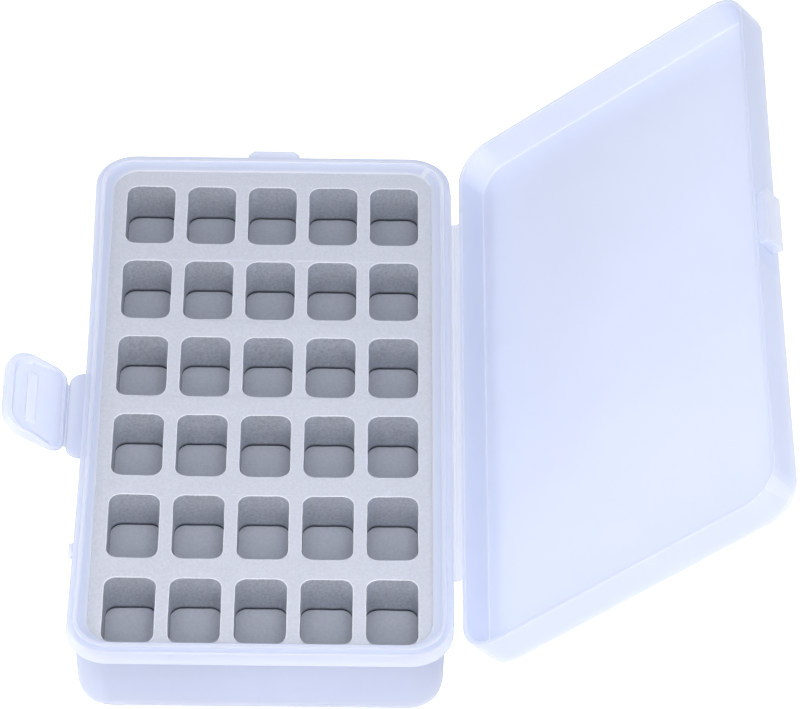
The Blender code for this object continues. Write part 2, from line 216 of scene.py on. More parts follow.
class FlapSettings(bpy.types.PropertyGroup):
    """Sizes of the latch flap."""

    reach: length("Reach", 19.3 * MM, "From the fold to the flap's tip")
    width: length("Width", 30.0 * MM, "Width of the flap at its fold")
    tip_width: length("Tip width", 28.7 * MM, "Width of the flap at its tip")
    thickness: length("Thickness", 1.2 * MM, "Thickness of the flap's plate")
    film: length("Film", 0.2 * MM, "Length of the film between fold and plate")
    aside: length("Set aside", 0.8 * MM, "How far the flap sits off the middle of its ledge")
    root_radius: length("Root radius", 4.4 * MM, "Radius of the corners at the fold")
    tip_radius: length("Tip radius", 7.2 * MM, "Radius of the corners at the tip")
    rim_height: length("Rim height", 1.7 * MM, "How far the rim stands over the plate")
    rim_width: length("Rim width", 1.3 * MM, "Width of the rim at the sides")
    hook_width: length("Hook width", 2.1 * MM, "Width of the rim at the tip")
    slope: factor("Rim slope", 0.6, "Lean of the rim's inner side, for its height")
    rim_start: length("Rim start", 5.0 * MM, "From the fold to where the rim begins")
    ridge_start: length("Ridge start", 9.6 * MM, "From the fold to the ridge")
    ridge_width: length("Ridge width", 3.1 * MM, "Width of the ridge")
    ridge_span: length("Ridge span", 17.6 * MM, "Length of the ridge")
    ridge_height: length("Ridge height", 0.6 * MM, "How far the ridge stands over the plate")
    edge: length("Edge", 0.35 * MM, "Radius of the flap's edges")


class FoamSettings(bpy.types.PropertyGroup):
    """Sizes of the foam sheets."""

    pocket_width: length("Pocket width", 13.4 * MM, "Width of a pocket")
    pocket_length: length("Pocket length", 21.9 * MM, "Length of a pocket")
    pocket_radius: length("Pocket radius", 3.1 * MM, "Radius of a pocket's corners")
    sheet_radius: length("Sheet radius", 7.3 * MM, "Radius of the sheets' corners")
    cut_edge: length("Cut edge", 0.25 * MM, "Radius of the edges that the die leaves")
    worn_edge: length("Worn edge", 1.0 * MM, "How far in the sheet's rim is rounded over")
    sag: length("Sag", 0.3 * MM, "How far the middle of the cut sheet lies low")
    lift: length("Lift", 0.5 * MM, "How far the far end of the cut sheet stands up")
    wander: length("Wander", 0.12 * MM, "How far a cut wanders from its line")
    lower_edge: length("Lower edge", 4.4 * MM, "Radius of the lower sheet's bottom edge")


class FinishSettings(bpy.types.PropertyGroup):
    """Colours of the plastic and the foam, and how much light the plastic lets through."""

    case: tint("Case", (0.715, 0.78, 0.965), "Frosted plastic of the tray and the lid")
    thin: tint("Thin plastic", (0.78, 0.835, 1.0), "Plastic of the strap and the films")
    foam: tint("Foam", (0.545, 0.576, 0.668), "Skin of the foam")
    # Painted highlight: a paler foam colour for the rounded cut edges, standing in for the light line
    # along them
    foam_edge_highlight: tint("Foam edge", (0.72, 0.745, 0.83), "Pale edge that the die leaves at a cut")
    cut: tint("Cut foam", (0.375, 0.405, 0.475), "Foam where the die went through")
    cover: factor("Cover", 0.55, "How much the case's wall hides, seen straight on")
    glow: factor("Glow", 0.25, "Share of the light that the case's wall lets through")
    stout_cover: factor("Stout cover", 0.7, "Cover of the tray's collar, which is stouter")
    stout_glow: factor("Stout glow", 0.15, "Glow of the tray's collar")
    thin_cover: factor("Thin cover", 0.5, "Cover of the strap and the films")
    thin_glow: factor("Thin glow", 0.3, "Glow of the strap and the films")
    roughness: factor("Roughness", 0.38, "Roughness of the frosted plastic")


def round_corners(corners, steps=FILLET_STEPS, closed=False):
    """A path through (x, y, radius) corners, each turned into an arc of its own radius.

    The first and the last corner of an open path stay as they are.
    """
    if closed:
        corners = [corners[-1], *corners, corners[0]]
    path = []
    for i, (x, y, radius) in enumerate(corners):
        here = Vector((x, y))
        if radius == 0 or i in (0, len(corners) - 1):
            path.append(here)
            continue
        back = (Vector(corners[i - 1][:2]) - here).normalized()
        ahead = (Vector(corners[i + 1][:2]) - here).normalized()
        half = back.angle(ahead) / 2
        centre = here + (back + ahead).normalized() * (radius / math.sin(half))
        start = here + back * (radius / math.tan(half)) - centre
        end = here + ahead * (radius / math.tan(half)) - centre
        turn = math.atan2(start.x * end.y - start.y * end.x, start.dot(end))
        for step in range(steps + 1):
            path.append(centre + Matrix.Rotation(turn * step / steps, 2) @ start)
    return path[1:-1] if closed else path


def arc(centre, radius, start, steps):
    """Points of a quarter circle that turns left from the angle start, in degrees."""
    angles = [math.radians(start + 90 * step / steps) for step in range(steps + 1)]
    return [centre + radius * Vector((math.cos(a), math.sin(a))) for a in angles]


def rounded_rectangle(half_x, half_y, radius, steps=CORNER_STEPS):
    """The outline of a rectangle with round corners, turning left."""
    x, y = half_x - radius, half_y - radius
    centres = (Vector((x, y)), Vector((-x, y)), Vector((-x, -y)), Vector((x, -y)))
    arcs = [arc(centre, radius, 90 * quarter, steps) for quarter, centre in enumerate(centres)]
    points = []
    for here, ahead in zip(arcs, arcs[1:] + arcs[:1]):
        points += here
        points += [here[-1].lerp(ahead[0], step / SIDE_STEPS) for step in range(1, SIDE_STEPS)]
    return points


def loft(rings, closed=False):
    """A bmesh through rings of as many points each: a closed loop, or capped at its ends."""
    bm = bmesh.new()
    loops = [[bm.verts.new(point) for point in ring] for ring in rings]
    count = len(loops[0])
    for lower, upper in zip(loops, loops[1:] + (loops[:1] if closed else [])):
        for i in range(count):
            j = (i + 1) % count
            bm.faces.new((lower[i], lower[j], upper[j], upper[i]))
    if not closed:
        bm.faces.new(reversed(loops[0]))
        bm.faces.new(loops[-1])
    return bm


def shell(section, half_x, half_y, radius):
    """A tray or lid: each (inset, height) of the section is one rounded ring.

    The section's ends only say where its panel runs, and they are left out.
    """
    rings = []
    for inset, z in section[1:-1]:
        corner = max(radius - inset, UNION_DEPTH)
        outline = rounded_rectangle(half_x - inset, half_y - inset, corner)
        rings.append([(point.x, point.y, z) for point in outline])
    return loft(rings)


def draw_in(bm, half_x, half_y, spread, bow):
    """Draws the side at -X of a tray or lid inwards at its middle, as it shrinks in the mould."""
    for vert in bm.verts:
        share = min(max(-2 * vert.co.x / half_x - 1, 0), 1)
        vert.co.x += share * (bow * (1 - (vert.co.y / half_y) ** 2) - spread)


def stub(root, tip, start, end, radius, steps=SMALL_STEPS):
    """The outline of a stub along X: square at its root, rounded at its tip."""
    corners = [(root, start, 0), (tip, start, radius), (tip, end, radius), (root, end, 0)]
    return round_corners(corners, steps)


def fillet(edge):
    """The (inset, rise) steps of a rounded edge, from its flat face to its side."""
    turns = [math.radians(90 * step / FILLET_STEPS) for step in range(FILLET_STEPS + 1)]
    return [(edge * (1 - math.sin(turn)), edge * (1 - math.cos(turn))) for turn in turns]


def plate(name, outline, low, high, edge):
    """A plate between two heights, its rims rounded inwards."""
    middle = sum(outline, Vector((0, 0))) / len(outline)
    steps = fillet(edge)
    levels = [(inset, low + rise) for inset, rise in steps]
    levels += [(inset, high - rise) for inset, rise in reversed(steps)]
    rings = []
    for inset, z in levels:
        rings.append([(*inward(outline, i, inset, middle), z) for i in range(len(outline))])
    return add_piece(name, loft(rings), None)


def inward(outline, i, inset, middle):
    """A point of an outline moved inwards, square to the outline there."""
    before, here, after = outline[i - 1], outline[i], outline[(i + 1) % len(outline)]
    along = (after - before).normalized()
    side = Vector((-along.y, along.x))
    if side.dot(middle - here) < 0:
        side.negate()
    return here + side * inset


def add_piece(name, bm, material):
    """Turns a bmesh into a smooth object in the scene."""
    bmesh.ops.remove_doubles(bm, verts=bm.verts, dist=MM / 1000)
    bmesh.ops.recalc_face_normals(bm, faces=bm.faces)
    mesh = bpy.data.meshes.new(name)
    bm.to_mesh(mesh)
    bm.free()
    piece = bpy.data.objects.new(name, mesh)
    bpy.context.scene.collection.objects.link(piece)
    mesh.materials.append(material)
    return piece


def join_forms(piece, forms):
    """Unites the forms with the piece into one surface and removes them."""
    for form in forms:
        modifier = piece.modifiers.new(form.name, "BOOLEAN")
        modifier.operation = "UNION"
        modifier.solver = "EXACT"
        modifier.object = form
    settle(piece)
    for form in forms:
        bpy.data.objects.remove(form, do_unlink=True)


def evaluated_mesh(piece):
    """A new mesh with what the piece's modifiers or curve make."""
    bpy.context.view_layer.update()
    graph = bpy.context.evaluated_depsgraph_get()
    return bpy.data.meshes.new_from_object(piece.evaluated_get(graph))


def settle(piece):
    """Applies the piece's modifiers to its mesh."""
    mesh = evaluated_mesh(piece)
    piece.modifiers.clear()
    piece.data = mesh


def smooth(piece):
    """Smooth shading that keeps broad faces flat and sharp folds sharp."""
    piece.data.shade_smooth()
    piece.data.set_sharp_from_angle(angle=CREASE)
    weighted = piece.modifiers.new("flat_faces", "WEIGHTED_NORMAL")
    weighted.keep_sharp = True
    settle(piece)


def turned(piece, pivot, angle, start=None):
    """Turns the piece's mesh about a fold along Y. start is where the fold lies before."""
    move = Matrix.Translation(pivot) @ Matrix.Rotation(angle, 4, "Y")
    piece.data.transform(move @ Matrix.Translation(-(start or pivot)))


def nodes_of(name):
    """A new node material: its tree and its Principled shader."""
    material = bpy.data.materials.new(name)
    material.use_nodes = True
    tree = material.node_tree
    return material, tree, tree.nodes["Principled BSDF"]


def feed(tree, made, *ordered, **named):
    """Sets a node's first inputs in order, and its properties and other inputs by name.

    An input that is given a socket is linked to it.
    """
    pairs = list(zip(made.inputs, ordered))
    for key, value in named.items():
        if hasattr(made, key):
            setattr(made, key, value)
        else:
            pairs.append((made.inputs[key.replace("_", " ")], value))
    for socket, value in pairs:
        if isinstance(value, bpy.types.NodeSocket):
            tree.links.new(value, socket)
        else:
            socket.default_value = value
    return made


def node(tree, kind, *ordered, **named):
    """Adds a node and feeds it."""
    return feed(tree, tree.nodes.new(kind), *ordered, **named)


def scaled(colour, share):
    """A colour made darker or lighter."""
    return tuple(min(1.0, channel * share) for channel in colour)


def mottled(tree, value, colour, contrast, low_at, high_at):
    """A colour that runs from darker to lighter between two levels of a value."""
    ramp = node(tree, "ShaderNodeValToRGB", value)
    first, last = ramp.color_ramp.elements
    first.position = low_at
    last.position = high_at
    first.color = (*scaled(colour, 1 - contrast), 1)
    last.color = (*scaled(colour, 1 + contrast), 1)
    return ramp.outputs["Color"]


def stepped(tree, height, level, below, above):
    """One value below a level and another above it."""
    over = node(tree, "ShaderNodeMath", height, level, operation="GREATER_THAN").outputs[0]
    return node(tree, "ShaderNodeMapRange", Value=over, To_Min=below, To_Max=above).outputs[0]


def frosted_plastic(name, colour, cover, glow, roughness, stout=None):
    """Milky polypropylene: a little of what lies behind shows, and a painted highlight makes its
    sharp edges paler.

    stout is the height above which the wall is stouter, with the wall's cover and glow there.
    """
    material, tree, shader = nodes_of(name)
    place = node(tree, "ShaderNodeTexCoord").outputs["Object"]
    clouds = node(tree, "ShaderNodeTexNoise", Vector=place, Scale=18.0, Detail=3.0)
    grain = node(tree, "ShaderNodeTexNoise", Vector=place, Scale=2600.0, Detail=2.0)
    milk = mottled(tree, clouds.outputs["Fac"], colour, 0.02, low_at=0.35, high_at=0.65)
    if stout:
        level, stout_cover, stout_glow = stout
        height = node(tree, "ShaderNodeSeparateXYZ", place).outputs["Z"]
        cover = stepped(tree, height, level, cover, stout_cover)
        glow = stepped(tree, height, level, glow, stout_glow)

    # Painted highlight: sharp convex edges, found by their pointiness, are painted paler, standing in
    # for the light that the rounded rims catch
    sharp = node(tree, "ShaderNodeNewGeometry").outputs["Pointiness"]
    edges = node(
        tree, "ShaderNodeMapRange", Value=sharp, From_Min=0.505, From_Max=0.55, To_Max=0.75
    )
    share, pale = edges.outputs[0], (0.93, 0.95, 1, 1)
    skin = node(tree, "ShaderNodeMix", data_type="RGBA", Factor=share, A=milk, B=pale)
    bump = node(
        tree, "ShaderNodeBump", Strength=0.05, Distance=0.02 * MM, Height=grain.outputs["Fac"]
    )
    feed(tree, shader, Base_Color=skin.outputs["Result"], Normal=bump.outputs["Normal"])
    feed(tree, shader, Roughness=roughness, IOR=1.49)

    # Light comes through the wall, and what lies behind it shows where it is seen straight on
    scatter = node(tree, "ShaderNodeBsdfTranslucent", Color=milk).outputs[0]
    body = node(tree, "ShaderNodeMixShader", glow, shader.outputs[0], scatter).outputs[0]
    facing = node(tree, "ShaderNodeLayerWeight", Blend=0.35).outputs["Facing"]
    dense = node(tree, "ShaderNodeMapRange", Value=facing, To_Min=cover, To_Max=0.95).outputs[0]
    clear = node(tree, "ShaderNodeBsdfTransparent").outputs[0]
    wall = node(tree, "ShaderNodeMixShader", dense, clear, body).outputs[0]
    feed(tree, tree.nodes["Material Output"], Surface=wall)
    return material


def grey_foam(name, colour, cells, contrast, foot=None):
    """Closed-cell foam: fine speckle and shallow pores. foot is where a cut's wall ends, and a
    painted shade darkens the wall just above it.
    """
    material, tree, shader = nodes_of(name)
    place = node(tree, "ShaderNodeTexCoord").outputs["Object"]
    speckle = node(tree, "ShaderNodeTexNoise", Vector=place, Scale=1400.0, Detail=4.0)
    drift = node(tree, "ShaderNodeTexNoise", Vector=place, Scale=60.0, Detail=3.0)
    pores = node(tree, "ShaderNodeTexVoronoi", Vector=place, Scale=cells)
    drift, speckle = drift.outputs["Fac"], speckle.outputs["Fac"]
    mix = node(tree, "ShaderNodeMath", drift, 0.2, speckle, operation="MULTIPLY_ADD").outputs[0]
    skin = mottled(tree, mix, colour, contrast, low_at=0.35, high_at=0.85)
    if foot is not None:
        # Painted shade: the cut's wall turns almost black near its foot, standing in for the shadow
        # in the gap between the two sheets
        height = node(tree, "ShaderNodeSeparateXYZ", place).outputs["Z"]
        low, high = foot + 0.3 * MM, foot + 1.3 * MM
        lit = node(tree, "ShaderNodeMapRange", Value=height, From_Min=low, From_Max=high).outputs[0]
        painted_shade = (*scaled(colour, 0.03), 1)
        shaded = node(tree, "ShaderNodeMix", data_type="RGBA", Factor=lit, A=painted_shade, B=skin)
        skin = shaded.outputs["Result"]
    bump = node(
        tree, "ShaderNodeBump", Strength=0.3, Distance=0.06 * MM, Height=pores.outputs["Distance"]
    )
    feed(tree, shader, Base_Color=skin, Normal=bump.outputs["Normal"])
    feed(tree, shader, Roughness=0.95, Specular_IOR_Level=0.2)
    return material


def rim_sizes(settings):
    """Half sizes of the tray's rim and the height of its ledge, from the frame."""
    half_x = STRAP_FOLD.x - settings.hinge_margin
    half_y = -TRAY_LOW.y - settings.collar_flare
    return half_x, half_y, TRAY_HIGH.z - settings.lip


class BOBBIN_OT_tray(bpy.types.Operator):
    """Builds the tray with its collar, lip, latch ledge, tab, nub and hinge pad"""

    bl_idname = "bobbin_box.tray"
    bl_label = "Tray"

    def execute(self, context):
        s = context.scene.bobbin_tray
        half_x, half_y, ledge_z = rim_sizes(s)
        collar_z = ledge_z - s.collar_height
        foot = s.collar_step + s.body_draft
        lip_in = s.ledge + s.wall
        top = ledge_z + s.lip
        section = round_corners(
            [
                (half_x, 0, 0),
                (foot, 0, s.body_edge),
                (s.collar_step, collar_z, s.edge),
                (-s.collar_flare, collar_z, s.edge),
                (0, ledge_z, s.edge),
                (s.ledge, ledge_z, s.edge / 2),
                (s.ledge, top, s.edge),
                (lip_in, top, s.edge),
                (lip_in, collar_z + s.wall, s.edge),
                (s.collar_step + s.wall, collar_z + s.wall - s.edge, s.edge / 2),
                (foot + s.wall, s.floor, s.body_edge - s.wall),
                (half_x, s.floor, 0),
            ]
        )
        material = context.scene["tray_plastic"]
        walls = shell(section, half_x, half_y, s.rim_radius)
        draw_in(walls, half_x, half_y, s.spread, s.bow)
        tray = add_piece("tray", walls, material)
        forms = [
            self.shelf(context, s, half_x, half_y, ledge_z),
            self.link(s, half_x),
            self.tab(s, half_y, ledge_z),
            self.nub(s, half_x, half_y, ledge_z),
            self.hinge_pad(s, half_x, half_y, ledge_z),
        ]
        join_forms(tray, forms)
        smooth(tray)
        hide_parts("base_tray")
        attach(tray, "base")
        return {"FINISHED"}

    def shelf(self, context, s, half_x, half_y, ledge_z):
        """The flat shelf that runs round the foam, inside the lip."""
        outer = rounded_rectangle(
            half_x - s.shelf_root, half_y - s.shelf_root, s.rim_radius - s.shelf_root
        )
        half = (BLOCK_HIGH - BLOCK_LOW) / 2
        middle = (BLOCK_HIGH + BLOCK_LOW) / 2
        radius = context.scene.bobbin_foam.sheet_radius + s.shelf_gap
        inner = rounded_rectangle(half.x + s.shelf_gap, half.y + s.shelf_gap, radius)
        inner = [point + middle.xy for point in inner]
        top = ledge_z + s.shelf_rise
        low = top - s.wall
        profile = (
            (0, top),
            (SHELF_BEND, top - s.shelf_lean),
            (1, top - s.shelf_lean - s.edge),
            (1, low - s.shelf_lean),
            (0, low),
        )
        rings = [[(*a.lerp(b, share), z) for a, b in zip(outer, inner)] for share, z in profile]
        return add_piece("shelf", loft(rings, closed=True), None)

    def link(self, s, half_x):
        """The ledge that carries the latch flap."""
        root = s.collar_step + s.wall + s.bow / 2 - half_x
        tip = -half_x - s.link_reach + s.link_stop
        half = s.link_width / 2
        outline = stub(root, tip, half, -half, s.link_radius, FITTING_STEPS)
        low, high = LATCH_FOLD.z - s.link_thickness / 2, LATCH_FOLD.z + s.link_thickness / 2
        return plate("latch_ledge", outline, low, high, s.edge)

    def tab(self, s, half_y, ledge_z):
        """The small tab on the far short side."""
        wide, root = s.tab_width / 2, half_y - UNION_DEPTH
        tip = half_y + s.tab_reach
        cut = s.tab_chamfer
        corners = [
            (wide, root, 0),
            (wide, tip - cut, s.edge),
            (wide - cut, tip, s.edge),
            (cut - wide, tip, s.edge),
            (-wide, tip - cut, s.edge),
            (-wide, root, 0),
        ]
        top = ledge_z - s.edge
        outline = round_corners(corners, SMALL_STEPS)
        return plate("far_tab", outline, top - s.tab_height, top, s.edge / 2)

    def nub(self, s, half_x, half_y, ledge_z):
        """The nub on the latch side."""
        root, tip = s.bow / 2 - half_x, -half_x - s.nub_reach
        middle, half = s.nub_setback - half_y, s.nub_width / 2
        outline = stub(root, tip, middle + half, middle - half, s.nub_reach / 2)
        top = ledge_z - s.nub_drop
        return plate("side_nub", outline, top - s.nub_height, top, s.edge / 2)

    def hinge_pad(self, s, half_x, half_y, ledge_z):
        """The long shallow pad beside the hinge."""
        root, tip = half_x - UNION_DEPTH, half_x + s.pad_reach
        near, far = s.pad_near - half_y, half_y - s.pad_far
        outline = stub(root, tip, near, far, s.pad_reach / 2)
        top = ledge_z - s.pad_drop
        return plate("hinge_pad", outline, top - s.pad_height, top, s.edge / 2)


class BOBBIN_OT_lid(bpy.types.Operator):
    """Builds the lid with its catch, shut, and opens it about the strap's folds"""

    bl_idname = "bobbin_box.lid"
    bl_label = "Lid"

    def execute(self, context):
        s, t = context.scene.bobbin_lid, context.scene.bobbin_tray
        half_x, half_y, ledge_z = rim_sizes(t)
        rim = ledge_z + s.seat_gap
        top = rim + s.depth
        inside = s.draft + s.wall
        section = round_corners(
            [
                (half_x, top, 0),
                (s.draft, top, s.panel_edge),
                (0, rim, s.rim_edge),
                (s.wall, rim, s.rim_edge),
                (inside, top - s.wall, s.inner_edge),
                (half_x, top - s.wall, 0),
            ]
        )
        material = context.scene["case_plastic"]
        grown_x, grown_y = half_x + s.overhang, half_y + s.overhang
        walls = shell(section, grown_x, grown_y, s.radius)
        draw_in(walls, grown_x, grown_y, s.spread, s.bow)
        lid = add_piece("lid_shell", walls, material)
        wall, root, tip = -grown_x, s.catch_root / 2, s.catch_width / 2
        corners = [
            (wall + s.wall / 2, root, 0),
            (wall, root, s.rim_edge / 2),
            (wall - s.catch_reach, tip, s.rim_edge),
            (wall - s.catch_reach, -tip, s.rim_edge),
            (wall, -root, s.rim_edge / 2),
            (wall + s.wall / 2, -root, 0),
        ]
        aside = Vector((0, s.catch_aside))
        outline = [point + aside for point in round_corners(corners, SMALL_STEPS)]
        low, high = rim + s.catch_low, rim + s.catch_high
        join_forms(lid, [plate("catch", outline, low, high, s.rim_edge)])
        smooth(lid)
        shut_fold = STRAP_FOLD + Vector((0, 0, STRAP_LENGTH))
        turned(lid, LID_FOLD, STRAP_TURN + LID_TURN, shut_fold)
        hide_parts("lid")
        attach(lid, "cover")
        return {"FINISHED"}


def ribbon(name, path, thickness, half_span, material, swell=1.0):
    """A strip along Y that follows a path in the XZ plane. Its ends swell where they root."""
    sides = []
    for i, here in enumerate(path):
        before, after = path[max(i - 1, 0)], path[min(i + 1, len(path) - 1)]
        along = (after - before).normalized()
        grown = swell if i in (0, len(path) - 1) else 1.0
        sides.append(Vector((-along.y, along.x)) * thickness * grown / 2)
    outline = [point + side for point, side in zip(path, sides)]
    outline += [point - side for point, side in reversed(list(zip(path, sides)))]
    rings = [[(p.x, y, p.y) for p in outline] for y in (half_span, -half_span)]
    return add_piece(name, loft(rings), material)


def fold_path(fold, before, after, root, tip, bend=FOLD_BEND):
    """A path through a fold, which comes from its root one way and leaves another way."""
    here = fold.xz
    path = [here - before * root]
    for step in range(FOLD_STEPS + 1):
        share = step / FOLD_STEPS
        a = here - before * bend * (1 - share)
        b = here + after * bend * share
        path.append(a.lerp(b, share))
    return path + [here + after * tip]


class BOBBIN_OT_hinge(bpy.types.Operator):
    """Builds the strap between tray and lid, and the two films that fold"""

    bl_idname = "bobbin_box.hinge"
    bl_label = "Hinge"

    def execute(self, context):
        s, t, lid = context.scene.bobbin_hinge, context.scene.bobbin_tray, context.scene.bobbin_lid
        material = context.scene["thin_plastic"]
        out = Vector((1, 0))
        strap_way = (LID_FOLD.xz - STRAP_FOLD.xz).normalized()
        opened = STRAP_TURN + LID_TURN
        lid_way = Vector((-math.cos(opened), math.sin(opened)))
        a = STRAP_FOLD.xz + strap_way * s.film_reach
        b = LID_FOLD.xz - strap_way * s.film_reach
        strap = ribbon("strap", [a, a.lerp(b, 0.5), b], s.strap, s.span / 2, material)
        edge = strap.modifiers.new("edges", "BEVEL")
        edge.width, edge.segments = s.strap / 4, 3
        settle(strap)
        smooth(strap)
        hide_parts("hinge_strap")
        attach(strap, "strap")
        path = fold_path(STRAP_FOLD, out, strap_way, t.hinge_margin + t.edge, s.film_reach)
        self.film("tray_film", STRAP_FOLD, path, ("base", "strap"), s, material)
        root = STRAP_FOLD.x - rim_sizes(t)[0] - lid.overhang + t.edge
        path = fold_path(LID_FOLD, strap_way, lid_way, s.film_reach, root)
        self.film("lid_film", LID_FOLD, path, ("strap", "cover"), s, material)
        return {"FINISHED"}

    def film(self, name, fold, path, bodies, s, material):
        """One film, shaped through its fold as it stands."""
        film = ribbon(name, path, s.film, s.span / 2, material)
        smooth(film)
        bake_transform(film)


class BOBBIN_OT_latch(bpy.types.Operator):
    """Builds the latch flap, level, with its film, and leans it back about its fold"""

    bl_idname = "bobbin_box.latch"
    bl_label = "Latch flap"

    def execute(self, context):
        s = context.scene.bobbin_flap
        material = context.scene["case_plastic"]
        flap = add_piece("flap", self.sheet(s), material)
        near, far, half = -s.ridge_start, -s.ridge_start - s.ridge_width, s.ridge_span / 2
        corners = [
            (near, half, s.edge),
            (far, half, s.edge),
            (far, -half, s.edge),
            (near, -half, s.edge),
        ]
        outline = round_corners(corners, SMALL_STEPS, closed=True)
        ridge = plate("ridge", outline, 0, s.thickness / 2 + s.ridge_height, s.edge)
        join_forms(flap, [ridge])
        smooth(flap)
        place = LATCH_FOLD + Vector((0, s.aside, 0))
        flap.data.transform(Matrix.Translation(place) @ Matrix.Rotation(FLAP_TURN, 4, "Y"))
        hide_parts("latch_flap")
        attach(flap, "latch")
        self.film(context, s)
        return {"FINISHED"}

    def sheet(self, s):
        """The flap and its rim: rings from the middle of its back, round its edge, to its floor."""
        half = s.thickness / 2
        steps = fillet(s.edge)
        rings = [self.ring(s, inset, 0, rise - half, 0) for inset, rise in steps]
        rings += [self.ring(s, inset, 0, half - drop, 1) for inset, drop in reversed(steps)]
        rings += [self.ring(s, s.rim_width - inset, 1, half - drop, 1) for inset, drop in steps]
        rings.append(self.ring(s, s.rim_width + s.rim_height * s.slope, 1, half, 0))
        return loft(rings)

    def ring(self, s, inset, inner, z, rise):
        """One rounded ring of the flap. inner widens the inset at the tip, rise lifts the rim."""
        x_tip = -s.reach + inset + inner * (s.hook_width - s.rim_width)
        x_root = -s.film - inset - max(z, 0)
        wide, narrow = s.width / 2 - inset, s.tip_width / 2 - inset
        tip, root = max(s.tip_radius - inset, s.edge), max(s.root_radius - inset, s.edge)
        points = arc(Vector((x_root - root, wide - root)), root, 0, FITTING_STEPS)
        points += arc(Vector((x_tip + tip, narrow - tip)), tip, 90, FITTING_STEPS)
        points += arc(Vector((x_tip + tip, tip - narrow)), tip, 180, FITTING_STEPS)
        points += arc(Vector((x_root - root, root - wide)), root, 270, FITTING_STEPS)
        made = []
        for p in points:
            share = min(max((-p.x - s.rim_start) / s.rim_width, 0), 1)
            made.append((p.x, p.y, z + rise * s.rim_height * share * share * (3 - 2 * share)))
        return made

    def film(self, context, s):
        """The film between the latch ledge and the flap, stouter where it roots."""
        t, hinge = context.scene.bobbin_tray, context.scene.bobbin_hinge
        before = Vector((-1, 0))
        after = Vector((-math.cos(FLAP_TURN), math.sin(FLAP_TURN)))
        reach = s.film + s.edge
        path = fold_path(LATCH_FOLD, before, after, reach, reach, bend=s.film / 2)
        half_span = t.link_width / 2 - t.link_radius
        material = context.scene["thin_plastic"]
        film = ribbon("latch_film", path, hinge.film, half_span, material, swell=3.0)
        smooth(film)
        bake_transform(film)


def wandering(outline, seed, wander):
    """An outline moved a little in and out, as a worn cutting die leaves it."""
    made = []
    for point in outline:
        where = Vector((point.x, point.y, seed)) * CUT_WAVES
        shift = Vector((noise.noise(where), noise.noise(where + SECOND_DRAW)))
        made.append(point + shift * wander)
    return made


def fine_outline(outline, spacing):
    """The outline with its long straight stretches cut into short ones."""
    made = []
    for here, ahead in zip(outline, outline[1:] + outline[:1]):
        count = max(1, round((ahead - here).length / spacing))
        made += [here.lerp(ahead, step / count) for step in range(count)]
    return made


def cut_sheet(name, outlines, low, high, edge, materials):
    """A sheet with holes: the first outline is its rim, and the others are holes."""
    curve = bpy.data.curves.new(name, "CURVE")
    curve.dimensions = "2D"
    curve.fill_mode = "BOTH"
    for number, outline in enumerate(outlines):
        spline = curve.splines.new("POLY")
        spline.points.add(len(outline) - 1)
        for point, place in zip(spline.points, outline if number == 0 else outline[::-1]):
            point.co = (place.x, place.y, 0, 1)
        spline.use_cyclic_u = True
    curve.extrude = (high - low) / 2 - edge
    curve.bevel_depth = edge
    curve.bevel_resolution = 2
    curve.offset = -edge
    sheet = bpy.data.objects.new(name, curve)
    bpy.context.scene.collection.objects.link(sheet)
    mesh = evaluated_mesh(sheet)
    bpy.data.objects.remove(sheet, do_unlink=True)
    bpy.data.curves.remove(curve)
    bm = bmesh.new()
    bm.from_mesh(mesh)
    bpy.data.meshes.remove(mesh)
    bmesh.ops.translate(bm, verts=bm.verts, vec=(0, 0, (low + high) / 2))
    made = add_piece(name, bm, materials[0])
    for material in materials[1:]:
        made.data.materials.append(material)
    return made


